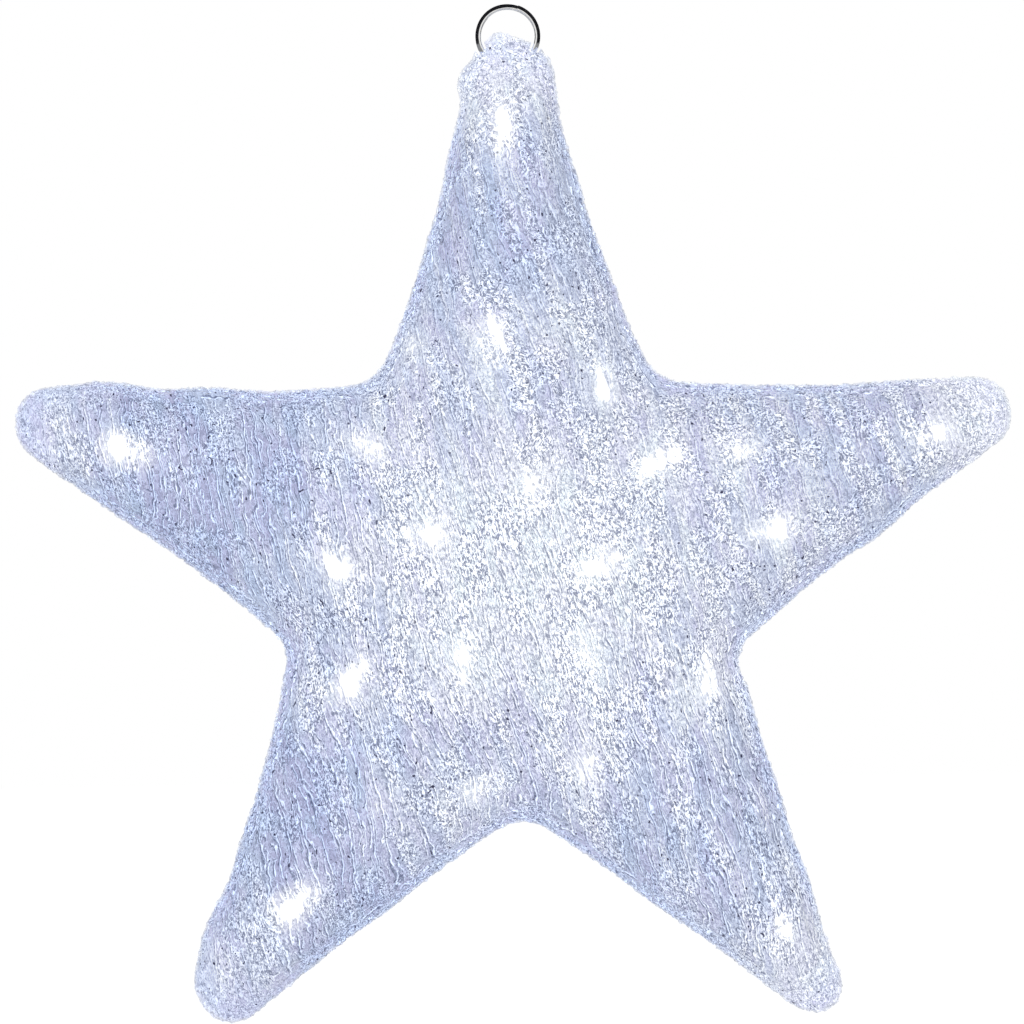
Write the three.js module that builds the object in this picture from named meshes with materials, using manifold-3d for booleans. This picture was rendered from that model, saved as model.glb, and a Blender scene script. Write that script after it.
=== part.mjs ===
// LED Christmas star: two half shells of clear acrylic that make a puffy five-pointed star,
// lit by a string of small lamps inside and hung on a split ring through its top point.
// Millimetres. X to the right, Z up, the front faces -Y. The origin is the place inside
// the top of the split ring where a hook carries the star.
import * as THREE from 'three';
import { mergeVertices } from 'three/addons/utils/BufferGeometryUtils.js';
import Module from 'manifold-3d';

const wasm = await Module();
wasm.setup();

// Star outline, seen from the front; clock angles turn from the top point
const topTipRadius = 207;
const sideTipRadius = 200.5;
const footTipRadius = 206;
const sideClock = THREE.MathUtils.degToRad(71.3);
const footClock = THREE.MathUtils.degToRad(144.7);
const topTipRound = 17.5;
const tipRound = 13.5;
const valleyRadius = 93.6;
const valleyRound = 14;
const flankBow = THREE.MathUtils.degToRad(3.25);
const tipSteps = 3;
const flankSteps = 4;
const valleySteps = 2;

// Swell of each half shell: depth = halfDepth * sqrt(1 - s ^ swellPower), s from 0 to 1
const halfDepth = 32;
const swellPower = 2.3;
const wall = 2.5;
const swellSteps = 7;

// Joint between the half shells
const seatGap = 0.3;
const stripThick = 1.2;
const stripWide = 8;

// Split ring
const ringOuterRadius = 12.5;
const ringWireWide = 2.2;
const ringWireThick = 1.3;
const ringTurnGap = 0.45;
const ringAboveCrown = 0.4;
const ringStart = THREE.MathUtils.degToRad(20);
const ringJogFrom = THREE.MathUtils.degToRad(320);
const ringJogTo = THREE.MathUtils.degToRad(372);
const ringStep = THREE.MathUtils.degToRad(7.5);
const ringSteps = 87;
const ringCornerShare = 0.55;

// Slots in the shoulders of the top point, where the ring passes through
const swingLimit = THREE.MathUtils.degToRad(40);
const slotClearance = 1.1;
const slotCorner = 0.8;

// Lamps: a 5 mm light-emitting diode pushed into a clear sleeve
const bulbRadius = 2.5;
const bulbLength = 8.6;
const bulbRimHeight = 1;
const bulbDish = 1.8;
const sleeveRadius = 3.2;
const sleeveLength = 20;
const socketDepth = 3.8;
const sleeveChamfer = 0.8;
const lampSides = 8;

// String cable
const cableDiameter = 2.4;
const cableSides = 6;
const cableLongSteps = 4;
const cableBendSteps = 2;
const cableBendWide = 8;
const cableBendBack = 5;
const cableBendDip = 5;

// Cable gland at the centre of the back
const glandFlangeRadius = 8;
const glandFlangeThick = 3;
const glandFlangeChamfer = 0.8;
const glandShankRadius = 4.5;
const glandShankLength = 10;
const glandBoreRadius = 1.8;
const glandNutAcross = 14;
const glandNutThick = 4;
const glandSides = 24;

// Each lamp: its arm, how many degrees the bulb lies from that arm's line and what share of
// the way to the outline, the way its sleeve points, and its wall, in the cable's order
const front = -1;
const back = 1;
const lamps = [
  { arm: 0, swerve: 10, reachShare: 0.24, sleeve: 181, side: front },
  { arm: 0, swerve: -5, reachShare: 0.50, sleeve: 175, side: back },
  { arm: 0, swerve: 27, reachShare: 0.79, sleeve: 345, side: front },
  { arm: 0, swerve: -1, reachShare: 0.86, sleeve: 180, side: front },
  { arm: 0, swerve: -23, reachShare: 0.90, sleeve: 200, side: back },
  { arm: 4, swerve: 24, reachShare: 0.70, sleeve: 290, side: back },
  { arm: 4, swerve: 0, reachShare: 0.81, sleeve: 110, side: front },
  { arm: 4, swerve: -16, reachShare: 0.53, sleeve: 300, side: front },
  { arm: 4, swerve: 8, reachShare: 0.23, sleeve: 271, side: front },
  { arm: 3, swerve: 22, reachShare: 0.72, sleeve: 33, side: front },
  { arm: 3, swerve: 0, reachShare: 0.76, sleeve: 51, side: front },
  { arm: 3, swerve: -4, reachShare: 0.54, sleeve: 40, side: back },
  { arm: 3, swerve: 0, reachShare: 0.17, sleeve: 190, side: back },
  { arm: 3, swerve: -23, reachShare: 0.80, sleeve: 52, side: front },
  { arm: 2, swerve: 16, reachShare: 0.61, sleeve: 153, side: back },
  { arm: 2, swerve: -1, reachShare: 0.84, sleeve: 334, side: front },
  { arm: 2, swerve: 1, reachShare: 0.55, sleeve: 330, side: back },
  { arm: 2, swerve: -7, reachShare: 0.22, sleeve: 152, side: front },
  { arm: 2, swerve: -23, reachShare: 0.78, sleeve: 1, side: back },
  { arm: 1, swerve: 14, reachShare: 0.22, sleeve: 66, side: front },
  { arm: 1, swerve: 9, reachShare: 0.68, sleeve: 255, side: back },
  { arm: 1, swerve: 1, reachShare: 0.87, sleeve: 265, side: front },
  { arm: 1, swerve: -9, reachShare: 0.65, sleeve: 80, side: back },
  { arm: 1, swerve: -20, reachShare: 0.58, sleeve: 61, side: back },
];

// Worked out from the sizes above
const ringCentreRadius = ringOuterRadius - ringWireWide / 2;
const ringTurnPitch = ringWireThick + ringTurnGap;
const ringDepth = ringTurnPitch + ringWireThick;
const ringZ = ringWireWide - ringOuterRadius;
const starZ = ringZ - ringAboveCrown - topTipRadius;
const seamHalf = seatGap / 2;
const cableRadius = cableDiameter / 2;

// The ring's wire crosses the middle of the wall here, on both sides of the top point
const wallMidRound = topTipRound - wall / 2;
const ringOverTip = topTipRound + ringAboveCrown;
const slotDrop = ringOverTip
  - (ringOverTip ** 2 + wallMidRound ** 2 - ringCentreRadius ** 2) / (2 * ringOverTip);
const slotX = Math.sqrt(ringCentreRadius ** 2 - slotDrop ** 2);
const hingeZ = ringZ - slotDrop;
const wireTilt = Math.asin(slotDrop / ringCentreRadius);
console.log(`hinge axis z ${hingeZ.toFixed(3)} mm, slots at x ${slotX.toFixed(2)} mm, `
  + `star centre z ${starZ.toFixed(3)} mm`);

// Solids and booleans
function solidOf(geometry) {
  const bare = geometry.clone();
  bare.deleteAttribute('normal');
  bare.deleteAttribute('uv');
  const merged = mergeVertices(bare);
  return new wasm.Manifold(new wasm.Mesh({
    numProp: 3,
    vertProperties: new Float32Array(merged.attributes.position.array),
    triVerts: new Uint32Array(merged.index.array),
  }));
}

function geometryOf(solid) {
  const mesh = solid.getMesh();
  const geometry = new THREE.BufferGeometry();
  geometry.setAttribute('position', new THREE.BufferAttribute(mesh.vertProperties, 3));
  geometry.setIndex(new THREE.BufferAttribute(mesh.triVerts, 1));
  geometry.computeVertexNormals();
  return geometry;
}

function cut(geometry, cutters) {
  return geometryOf(cutters.reduce((solid, c) => solid.subtract(solidOf(c)), solidOf(geometry)));
}

// A closed solid through rows of points; a row of one point is a pole. With joined set,
// the last row joins the first one, as on a torus.
function loft(rows, joined = false) {
  const points = rows.flat();
  const starts = [];
  rows.reduce((sum, row) => {
    starts.push(sum);
    return sum + row.length;
  }, 0);
  const faces = [];
  const pairs = joined ? rows.length : rows.length - 1;
  for (let r = 0; r < pairs; r += 1) {
    const q = (r + 1) % rows.length;
    const count = Math.max(rows[r].length, rows[q].length);
    for (let i = 0; i < count; i += 1) {
      const j = (i + 1) % count;
      const a = starts[r] + (rows[r].length > 1 ? i : 0);
      const b = starts[r] + (rows[r].length > 1 ? j : 0);
      const c = starts[q] + (rows[q].length > 1 ? j : 0);
      const d = starts[q] + (rows[q].length > 1 ? i : 0);
      if (a !== b) faces.push([a, b, c]);
      if (c !== d) faces.push([a, c, d]);
    }
  }
  const volume = faces.reduce((sum, [a, b, c]) => (
    sum + points[a].dot(new THREE.Vector3().crossVectors(points[b], points[c]))), 0);
  if (volume < 0) faces.forEach((face) => face.reverse());
  const geometry = new THREE.BufferGeometry().setFromPoints(points);
  geometry.setIndex(faces.flat());
  geometry.computeVertexNormals();
  return geometry;
}

// Where two lines meet in the plane, each given by a point and a direction
function meeting(p, u, q, v) {
  const t = ((q.x - p.x) * v.y - (q.y - p.y) * v.x) / (u.x * v.y - u.y * v.x);
  return p.clone().addScaledVector(u, t);
}

// Half of one arm from its tip to the valley, x along the arm and y across it. The line
// that touches both round ends gives the flank, which bows in from it at each end.
function halfArm({ reach, round }, bisector, inset) {
  const across = (angle) => new THREE.Vector2(Math.cos(angle), Math.sin(angle));
  const tipCentre = new THREE.Vector2(reach - round, 0);
  const valleyCentre = across(bisector).multiplyScalar(valleyRadius + valleyRound);
  const span = valleyCentre.clone().sub(tipCentre);
  const flankNormal = span.angle() - Math.acos((round + valleyRound) / span.length());
  const tipEnd = flankNormal + flankBow;
  const valleyEnd = flankNormal - flankBow;
  const onTip = (angle) => tipCentre.clone().addScaledVector(across(angle), round - inset);
  const onValley = (angle) => (
    valleyCentre.clone().addScaledVector(across(angle), -valleyRound - inset));
  const middle = meeting(onTip(tipEnd), across(tipEnd - Math.PI / 2),
    onValley(valleyEnd), across(valleyEnd - Math.PI / 2));
  const flank = new THREE.QuadraticBezierCurve(onTip(tipEnd), middle, onValley(valleyEnd));
  const points = [];
  for (let i = 0; i < tipSteps; i += 1) points.push(onTip(tipEnd * i / tipSteps));
  for (let i = 0; i < flankSteps; i += 1) points.push(flank.getPoint(i / flankSteps));
  for (let i = 0; i <= valleySteps; i += 1) {
    points.push(onValley(THREE.MathUtils.lerp(valleyEnd, bisector, i / valleySteps)));
  }
  return points;
}

// The whole outline about the star's centre, clockwise from the valley before the top
const arms = [
  { clock: 0, reach: topTipRadius, round: topTipRound },
  { clock: sideClock, reach: sideTipRadius, round: tipRound },
  { clock: footClock, reach: footTipRadius, round: tipRound },
  { clock: -footClock, reach: footTipRadius, round: tipRound },
  { clock: -sideClock, reach: sideTipRadius, round: tipRound },
];

function starOutline(inset) {
  const turn = 2 * Math.PI;
  return arms.flatMap((arm, i) => {
    const before = arms.at(i - 1).clock;
    const after = arms[(i + 1) % arms.length].clock;
    const leftHalf = THREE.MathUtils.euclideanModulo(arm.clock - before, turn) / 2;
    const rightHalf = THREE.MathUtils.euclideanModulo(after - arm.clock, turn) / 2;
    const left = halfArm(arm, leftHalf, inset).slice(1).reverse();
    const right = halfArm(arm, rightHalf, inset).slice(0, -1);
    const mirrored = left.map((p) => new THREE.Vector2(p.x, -p.y));
    return [...mirrored, ...right].map((p) => new THREE.Vector2(
      p.x * Math.sin(arm.clock) + p.y * Math.cos(arm.clock),
      p.x * Math.cos(arm.clock) - p.y * Math.sin(arm.clock),
    ));
  });
}

// Rows of the swollen surface that lies one inset inside the outer face
function starRow(outline, share, y) {
  return outline.map((p) => new THREE.Vector3(p.x * share, y, starZ + p.y * share));
}

function swellShare(y, depth) {
  return (1 - (y / depth) ** 2) ** (1 / swellPower);
}

function swellRows(inset, side) {
  const outline = starOutline(inset);
  const depth = halfDepth - inset;
  const first = Math.asin(stripWide / 2 / depth);
  const rows = [starRow(outline, swellShare(seamHalf, depth), side * seamHalf)];
  for (let i = 0; i < swellSteps; i += 1) {
    const y = depth * Math.sin(first + (Math.PI / 2 - first) * i / swellSteps);
    rows.push(starRow(outline, swellShare(y, depth), side * y));
  }
  rows.push([new THREE.Vector3(0, side * depth, starZ)]);
  return rows;
}

// The two slots, each an oval cutter along the ring's wire
function slotCutters() {
  const lean = wireTilt - Math.asin(slotX / wallMidRound);
  const crossing = wall / 2 / Math.cos(lean) + ringWireWide / 2 * Math.abs(Math.tan(lean));
  const straightLong = crossing * Math.tan(swingLimit)
    + ringDepth / 2 / Math.cos(swingLimit) + slotClearance;
  const wallFall = topTipRadius * (1 - swellShare(straightLong, halfDepth));
  const halfLong = straightLong + wallFall * Math.tan(swingLimit);
  const halfWide = ringWireWide / 2 + slotClearance;
  const shape = new THREE.Shape();
  [[1, 1, 0], [-1, 1, 1], [-1, -1, 2], [1, -1, 3]].forEach(([sx, sy, quarter]) => {
    shape.absarc(sx * (halfWide - slotCorner), sy * (halfLong - slotCorner), slotCorner,
      quarter * Math.PI / 2, (quarter + 1) * Math.PI / 2, false);
  });
  const depth = wall * 4;
  return [-1, 1].map((side) => {
    const geometry = new THREE.ExtrudeGeometry(shape, {
      depth, bevelEnabled: false, curveSegments: 3,
    });
    geometry.translate(0, 0, -depth / 2);
    geometry.rotateY(side * wireTilt);
    geometry.translate(side * slotX, 0, hingeZ);
    return geometry;
  });
}

function halfShell(side) {
  const outer = swellRows(0, side).reverse();
  const inner = swellRows(wall, side);
  const cutters = slotCutters();
  if (side === back) {
    const hole = new THREE.CylinderGeometry(glandShankRadius + seatGap,
      glandShankRadius + seatGap, halfDepth, glandSides);
    cutters.push(hole.translate(0, halfDepth, starZ));
  }
  return cut(loft([...outer, ...inner]), cutters);
}

// The strip that bridges the seam inside, open at the top where the ring swings
function seamStrip() {
  const rowsAt = (inset) => [-stripWide / 2, -seamHalf, seamHalf, stripWide / 2].map((y) => (
    starRow(starOutline(inset), swellShare(y, halfDepth - inset), y)));
  const outer = rowsAt(wall + seatGap);
  const inner = rowsAt(wall + seatGap + stripThick).reverse();
  const opening = new THREE.BoxGeometry(sideTipRadius, halfDepth, topTipRadius);
  opening.translate(0, 0, ringZ - ringOuterRadius - seatGap + topTipRadius / 2);
  return cut(loft([...outer, ...inner], true), [opening]);
}

// Split ring: one wire of almost two turns that steps from the front plane to the back one
function splitRing() {
  const corner = ringCornerShare * ringWireThick / 2;
  const halfWide = ringWireWide / 2;
  const halfThick = ringWireThick / 2;
  const section = [
    [halfWide, halfThick - corner], [halfWide - corner, halfThick],
    [corner - halfWide, halfThick], [-halfWide, halfThick - corner],
    [-halfWide, corner - halfThick], [corner - halfWide, -halfThick],
    [halfWide - corner, -halfThick], [halfWide, corner - halfThick],
  ];
  const rows = [];
  for (let i = 0; i <= ringSteps; i += 1) {
    const angle = ringStart + ringStep * i;
    const jog = THREE.MathUtils.smoothstep(angle, ringJogFrom, ringJogTo);
    const y = (jog - 0.5) * ringTurnPitch;
    rows.push(section.map(([out, deep]) => new THREE.Vector3(
      (ringCentreRadius + out) * Math.sin(angle), y + deep,
      ringZ + (ringCentreRadius + out) * Math.cos(angle))));
  }
  const near = Math.ceil(ringSteps / 4);
  let gap = Infinity;
  rows.forEach((row, i) => rows.slice(i + near).forEach((other) => {
    row.forEach((p) => other.forEach((q) => {
      gap = Math.min(gap, p.distanceTo(q));
    }));
  }));
  console.log(`split ring: least gap to itself ${gap.toFixed(3)} mm`);
  const middle = (row) => [row.reduce((sum, p) => sum.add(p), new THREE.Vector3())
    .divideScalar(row.length)];
  return loft([middle(rows[0]), ...rows, middle(rows.at(-1))]);
}

// How far the inner outline lies from the star's centre in the direction of a place
const innerOutline = starOutline(wall);

function innerReach(place) {
  for (let i = 0; i < innerOutline.length; i += 1) {
    const p = innerOutline[i];
    const q = innerOutline[(i + 1) % innerOutline.length];
    const edge = q.clone().sub(p);
    const along = p.cross(edge) / place.cross(edge);
    const crossed = place.cross(p) > 0 !== place.cross(q) > 0;
    if (crossed && along > 0) return along * place.length();
  }
  return 0;
}

// Depth of the inner face over a place, x and z counted from the star's centre
const innerSteps = swellRows(wall, back).map((row) => {
  const depth = row[0].y;
  return { depth, share: row.length > 1 ? swellShare(depth, halfDepth - wall) : 0 };
});

function innerDepth(x, z) {
  const place = new THREE.Vector2(x, z);
  const share = place.length() / innerReach(place);
  const i = innerSteps.findIndex((step, k) => k > 0 && step.share <= share);
  if (i < 0 || share > innerSteps[0].share) return 0;
  const [low, high] = [innerSteps[i], innerSteps[i - 1]];
  const mix = (share - low.share) / (high.share - low.share);
  return low.depth + (high.depth - low.depth) * mix;
}

// Least clear distance from a straight axis to the inner face
function clearance(from, to) {
  const probe = sleeveRadius / 4;
  let least = Infinity;
  for (let i = 0; i <= 8; i += 1) {
    const p = from.clone().lerp(to, i / 8);
    for (const [sx, sz] of [[0, 0], [1, 0], [-1, 0], [0, 1], [0, -1]]) {
      const x = p.x + sx * sleeveRadius;
      const z = p.z - starZ + sz * sleeveRadius;
      const depth = innerDepth(x, z);
      const slopeX = (innerDepth(x + probe, z) - innerDepth(x - probe, z)) / (2 * probe);
      const slopeZ = (innerDepth(x, z + probe) - innerDepth(x, z - probe)) / (2 * probe);
      const fall = Math.hypot(slopeX, slopeZ, 1);
      const near = sx === 0 && sz === 0 ? 0 : sleeveRadius / fall - sleeveRadius;
      least = Math.min(least, (depth - Math.abs(p.y)) / fall - near);
    }
  }
  return least;
}

// A lamp's axis, from the sleeve's closed end to the bulb's tip, seated on its wall
const lampLength = sleeveLength - socketDepth + seatGap + bulbLength;

function seatLamp({ arm, swerve, reachShare, sleeve, side }) {
  const turn = arms[arm].clock + THREE.MathUtils.degToRad(swerve);
  const lie = THREE.MathUtils.degToRad(sleeve);
  const reach = reachShare * innerReach(new THREE.Vector2(Math.sin(turn), Math.cos(turn)));
  const way = new THREE.Vector3(Math.sin(lie), 0, Math.cos(lie));
  const bulb = new THREE.Vector3(reach * Math.sin(turn), 0, starZ + reach * Math.cos(turn));
  bulb.addScaledVector(way, -bulbLength / 2);
  const base = bulb.clone().addScaledVector(way, lampLength);
  const off = sleeveRadius + seatGap;
  for (const end of [bulb, base]) end.y = side * (innerDepth(end.x, end.z - starZ) - off);
  for (let i = 0; i < 6; i += 1) {
    const shift = clearance(base, bulb) - off;
    bulb.y += side * shift;
    base.y += side * shift;
  }
  return { base, way: bulb.clone().sub(base).normalize(), side };
}

const seats = lamps.map(seatLamp);

function lampSleeve() {
  const socket = bulbRadius + seatGap;
  const profile = [
    [0, 0], [sleeveRadius - sleeveChamfer, 0], [sleeveRadius, sleeveChamfer],
    [sleeveRadius, sleeveLength], [socket, sleeveLength],
    [socket, sleeveLength - socketDepth], [0, sleeveLength - socketDepth],
  ];
  return new THREE.LatheGeometry(profile.map(([r, y]) => new THREE.Vector2(r, y)), lampSides);
}

// The diode's front is dished, which spreads its light to the sides
function lampBulb() {
  const foot = sleeveLength - socketDepth + seatGap;
  const profile = [
    [0, foot], [bulbRadius, foot], [bulbRadius, foot + bulbLength - bulbRimHeight],
    [bulbRadius - bulbRimHeight / 2, foot + bulbLength], [0, foot + bulbLength - bulbDish],
  ];
  return new THREE.LatheGeometry(profile.map(([r, y]) => new THREE.Vector2(r, y)), lampSides);
}

// The string cable runs from the gland, turns behind the closed end of every sleeve,
// and crosses the hollow between two of them
function cablePoints() {
  const start = new THREE.Vector3(0, halfDepth - glandShankLength, starZ);
  const stops = seats.map(({ base, way }) => (
    base.clone().addScaledVector(way, -cableRadius - seatGap)));
  const knots = [start, start.clone().setY(start.y - cableDiameter * 2)];
  const steps = [1, cableLongSteps];
  seats.forEach(({ way, side }, i) => {
    const stop = stops[i];
    const before = stops[i - 1] ?? start;
    const after = stops[i + 1] ?? stop;
    const across = after.clone().sub(before).setY(0);
    across.addScaledVector(way, -across.dot(way)).normalize();
    // A bend beside the sleeve's end, set back where the cable goes on behind the lamp
    const bend = (other, turn) => {
      const ahead = other.clone().sub(stop).normalize().dot(way);
      const knot = stop.clone().addScaledVector(across, turn * cableBendWide);
      knot.addScaledVector(way, cableBendBack * Math.min(ahead, 0));
      knot.y -= side * cableBendDip;
      return knot;
    };
    knots.push(bend(before, -1), stop);
    steps.push(cableBendSteps, cableBendSteps);
    if (i + 1 < seats.length) {
      knots.push(bend(after, 1));
      steps.push(cableLongSteps);
    }
  });
  const curve = new THREE.CatmullRomCurve3(knots, false, 'centripetal');
  const points = [];
  for (let i = 0; i + 1 < knots.length; i += 1) {
    for (let k = 0; k < steps[i]; k += 1) {
      points.push(curve.getPoint((i + k / steps[i]) / (knots.length - 1)));
    }
  }
  points.push(knots.at(-1).clone());
  return points;
}

function tube(points, radius, sides) {
  const rows = [];
  let normal = new THREE.Vector3(1, 0, 0);
  points.forEach((p, i) => {
    const tangent = points[Math.min(i + 1, points.length - 1)].clone()
      .sub(points[Math.max(i - 1, 0)]).normalize();
    normal = normal.clone().addScaledVector(tangent, -normal.dot(tangent)).normalize();
    const side = new THREE.Vector3().crossVectors(tangent, normal);
    rows.push(Array.from({ length: sides }, (_, k) => {
      const angle = k * 2 * Math.PI / sides;
      return p.clone().addScaledVector(normal, radius * Math.cos(angle))
        .addScaledVector(side, radius * Math.sin(angle));
    }));
  });
  return loft([[points[0].clone()], ...rows, [points.at(-1).clone()]]);
}

// Gland: flange outside, shank through the shell, bore for the supply cord
function glandBody() {
  const under = halfDepth + seatGap;
  const outside = under + glandFlangeThick;
  const profile = [
    [glandBoreRadius, under - glandShankLength], [glandShankRadius, under - glandShankLength],
    [glandShankRadius, under], [glandFlangeRadius, under],
    [glandFlangeRadius, outside - glandFlangeChamfer],
    [glandFlangeRadius - glandFlangeChamfer, outside], [glandBoreRadius, outside],
    [glandBoreRadius, under - glandShankLength],
  ];
  return new THREE.LatheGeometry(profile.map(([r, y]) => new THREE.Vector2(r, y)), glandSides);
}

function glandNut() {
  const shape = new THREE.Shape();
  const corner = glandNutAcross / Math.sqrt(3);
  for (let i = 0; i < 6; i += 1) {
    const angle = i * Math.PI / 3;
    const point = [corner * Math.cos(angle), corner * Math.sin(angle)];
    if (i === 0) shape.moveTo(...point);
    else shape.lineTo(...point);
  }
  shape.closePath();
  const hole = new THREE.Path();
  hole.absarc(0, 0, glandShankRadius + seatGap, 0, 2 * Math.PI, true);
  shape.holes.push(hole);
  const geometry = new THREE.ExtrudeGeometry(shape, {
    depth: glandNutThick, bevelEnabled: false, curveSegments: glandSides / 2,
  });
  geometry.rotateX(Math.PI / 2);
  return geometry.translate(0, innerDepth(0, -corner) - seatGap, 0);
}

// Finishes
const iceAcrylic = { color: 0xc9cfec, roughness: 0.25, metalness: 0 };
const seamAcrylic = { color: 0xb9c2e4, roughness: 0.35, metalness: 0 };
const nickel = { color: 0xb4b6bc, roughness: 0.2, metalness: 1 };
const litLens = { color: 0xffffff, roughness: 0.2, metalness: 0, emissive: 0xf2f6ff };
const clearSleeve = { color: 0xdfe6f4, roughness: 0.3, metalness: 0 };
const clearCable = { color: 0xd5dcea, roughness: 0.35, metalness: 0 };
const glandPlastic = { color: 0xe6eaf2, roughness: 0.4, metalness: 0 };

const star = new THREE.Group();

function addPiece(name, geometry, finish) {
  const mesh = new THREE.Mesh(geometry, new THREE.MeshStandardMaterial(finish));
  mesh.name = name;
  star.add(mesh);
  return mesh;
}

addPiece('front_shell', halfShell(front), iceAcrylic);
addPiece('rear_shell', halfShell(back), iceAcrylic);
addPiece('seam_strip', seamStrip(), seamAcrylic);
addPiece('hanging_ring', splitRing(), nickel);
addPiece('string_cable', tube(cablePoints(), cableRadius, cableSides), clearCable);
addPiece('cable_gland', glandBody(), glandPlastic).position.z = starZ;
addPiece('gland_nut', glandNut(), glandPlastic).position.z = starZ;

seats.forEach(({ base, way }, i) => {
  const number = String(i + 1).padStart(2, '0');
  const pieces = [
    addPiece(`led_sleeve_${number}`, lampSleeve(), clearSleeve),
    addPiece(`led_bulb_${number}`, lampBulb(), litLens),
  ];
  pieces.forEach((piece) => {
    piece.position.copy(base);
    piece.quaternion.setFromUnitVectors(new THREE.Vector3(0, 1, 0), way);
  });
});

export default star;
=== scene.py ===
# Lit ice star on a split ring: two half shells of acrylic strands, a string of lamps inside
import math

import bpy
import numpy
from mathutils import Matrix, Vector, noise


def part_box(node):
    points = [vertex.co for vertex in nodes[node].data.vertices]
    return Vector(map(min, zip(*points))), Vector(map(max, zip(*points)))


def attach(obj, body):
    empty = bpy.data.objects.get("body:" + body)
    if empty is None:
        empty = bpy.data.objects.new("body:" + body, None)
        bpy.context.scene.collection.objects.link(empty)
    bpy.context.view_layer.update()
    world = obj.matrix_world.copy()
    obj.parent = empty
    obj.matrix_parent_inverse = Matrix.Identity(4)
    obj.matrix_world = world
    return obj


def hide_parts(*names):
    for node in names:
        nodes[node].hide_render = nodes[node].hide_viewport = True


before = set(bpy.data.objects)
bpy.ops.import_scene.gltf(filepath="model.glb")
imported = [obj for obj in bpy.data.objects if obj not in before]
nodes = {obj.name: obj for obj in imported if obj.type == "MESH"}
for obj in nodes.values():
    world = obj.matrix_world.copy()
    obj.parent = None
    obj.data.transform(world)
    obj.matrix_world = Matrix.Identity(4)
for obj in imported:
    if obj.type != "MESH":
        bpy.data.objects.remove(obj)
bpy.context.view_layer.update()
for leftover in ("Cube", "Light", "Camera"):
    if leftover in bpy.data.objects:
        bpy.data.objects.remove(bpy.data.objects[leftover])
starCentre = Vector((0, 0, -0.2177))


# Stage: camera, lamps, floor and backdrop colour
stageValues = {
    "aim": (-0.00117, 0, -0.1934),
    "cameraDistance": 1.6,
    "frameWide": 0.3942,
    "sensorWide": 36,
    "roll": 0.87,
    "floorZ": -0.75,
    "floorSize": 14,
    "floorColour": (0.86, 0.87, 0.89, 1),
    "floorMottle": 0.98,
    "floorGrain": (0.4, 0.4, 0.4),
    "floorRamp": (0.3, 0.7),
    "floorLift": 0.74,
    "worldLight": 0.36,
    "worldColour": (0.97, 0.98, 1, 1),
    "lamps": {
        "key_lamp": ((-0.9, -1.5, 0.75), 1.1, 12),
        "fill_lamp": ((1.3, -1.2, 0.1), 1.2, 4.5),
        "back_lamp": ((0.5, 1.5, 0.7), 1.2, 6),
    },
    "ahead": (-0.72, -0.84),
    "behind": (0.50, 0.70),
    "below": (-0.75, -0.9),
    "belowShare": 0.18,
    "flag": (0.012, 0.012, 0.015, 1),
}


def addArea(name, place, size, power):
    bpy.ops.object.light_add(type="AREA", location=place)
    lamp = bpy.context.object
    lamp.name = name
    lamp.data.shape = "DISK"
    lamp.data.size = size
    lamp.data.energy = power
    lamp.visible_glossy = False
    lamp.rotation_euler = (starCentre - Vector(place)).to_track_quat("-Z", "Y").to_euler()


def addStage(values):
    aim = Vector(values["aim"])
    bpy.ops.object.camera_add(
        location=aim - Vector((0, values["cameraDistance"], 0)),
        rotation=(math.pi / 2, math.radians(values["roll"]), 0),
    )
    camera = bpy.context.object
    camera.data.sensor_width = values["sensorWide"]
    camera.data.lens = values["sensorWide"] * values["cameraDistance"] / values["frameWide"]
    bpy.context.scene.camera = camera
    for name, (place, size, power) in values["lamps"].items():
        addArea(name, place, size, power)
    bpy.ops.mesh.primitive_plane_add(size=values["floorSize"], location=(0, 0, values["floorZ"]))
    floor = bpy.context.object
    floor.name = "studio_floor"
    floor.data.materials.append(floorFinish(values))
    bpy.context.scene.view_settings.view_transform = "Standard"


# The camera sees plain white, the object is lit softly, and gloss mirrors the flagged studio
def addWorld(values):
    world = bpy.context.scene.world or bpy.data.worlds.new("studio")
    bpy.context.scene.world = world
    world.use_nodes = True
    tree = world.node_tree
    tree.nodes.clear()
    path = node(tree, "ShaderNodeLightPath").outputs
    lit = node(tree, "ShaderNodeBackground",
               {"Color": values["worldColour"], "Strength": values["worldLight"]})
    mirrored = node(tree, "ShaderNodeBackground", {"Color": flagged(tree, values)})
    seen = node(tree, "ShaderNodeBackground", {"Color": (1, 1, 1, 1)})
    shine = node(tree, "ShaderNodeMixShader", {
        0: path["Is Glossy Ray"], 1: lit.outputs[0], 2: mirrored.outputs[0]})
    first = maths(tree, "MAXIMUM", path["Is Camera Ray"], path["Is Transmission Ray"])
    total = node(tree, "ShaderNodeMixShader", {0: first, 1: shine.outputs[0], 2: seen.outputs[0]})
    node(tree, "ShaderNodeOutputWorld", {"Surface": total.outputs[0]})


# Node helpers: a value that is a socket is linked, any other is set on the input
def node(tree, kind, inputs=None, **settings):
    made = tree.nodes.new(kind)
    for name, value in settings.items():
        setattr(made, name, value)
    for name, value in (inputs or {}).items():
        if isinstance(value, bpy.types.NodeSocket):
            tree.links.new(value, made.inputs[name])
        else:
            made.inputs[name].default_value = value
    return made


def maths(tree, operation, *values, clamp=False):
    made = node(tree, "ShaderNodeMath", operation=operation, use_clamp=clamp)
    for i, value in enumerate(values):
        if isinstance(value, bpy.types.NodeSocket):
            tree.links.new(value, made.inputs[i])
        else:
            made.inputs[i].default_value = value
    return made.outputs[0]


def ramp(tree, value, low, high, start=0, end=1):
    made = node(tree, "ShaderNodeMapRange", {
        "Value": value, "From Min": low, "From Max": high, "To Min": start, "To Max": end,
    }, interpolation_type="SMOOTHSTEP")
    return made.outputs["Result"]


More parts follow.
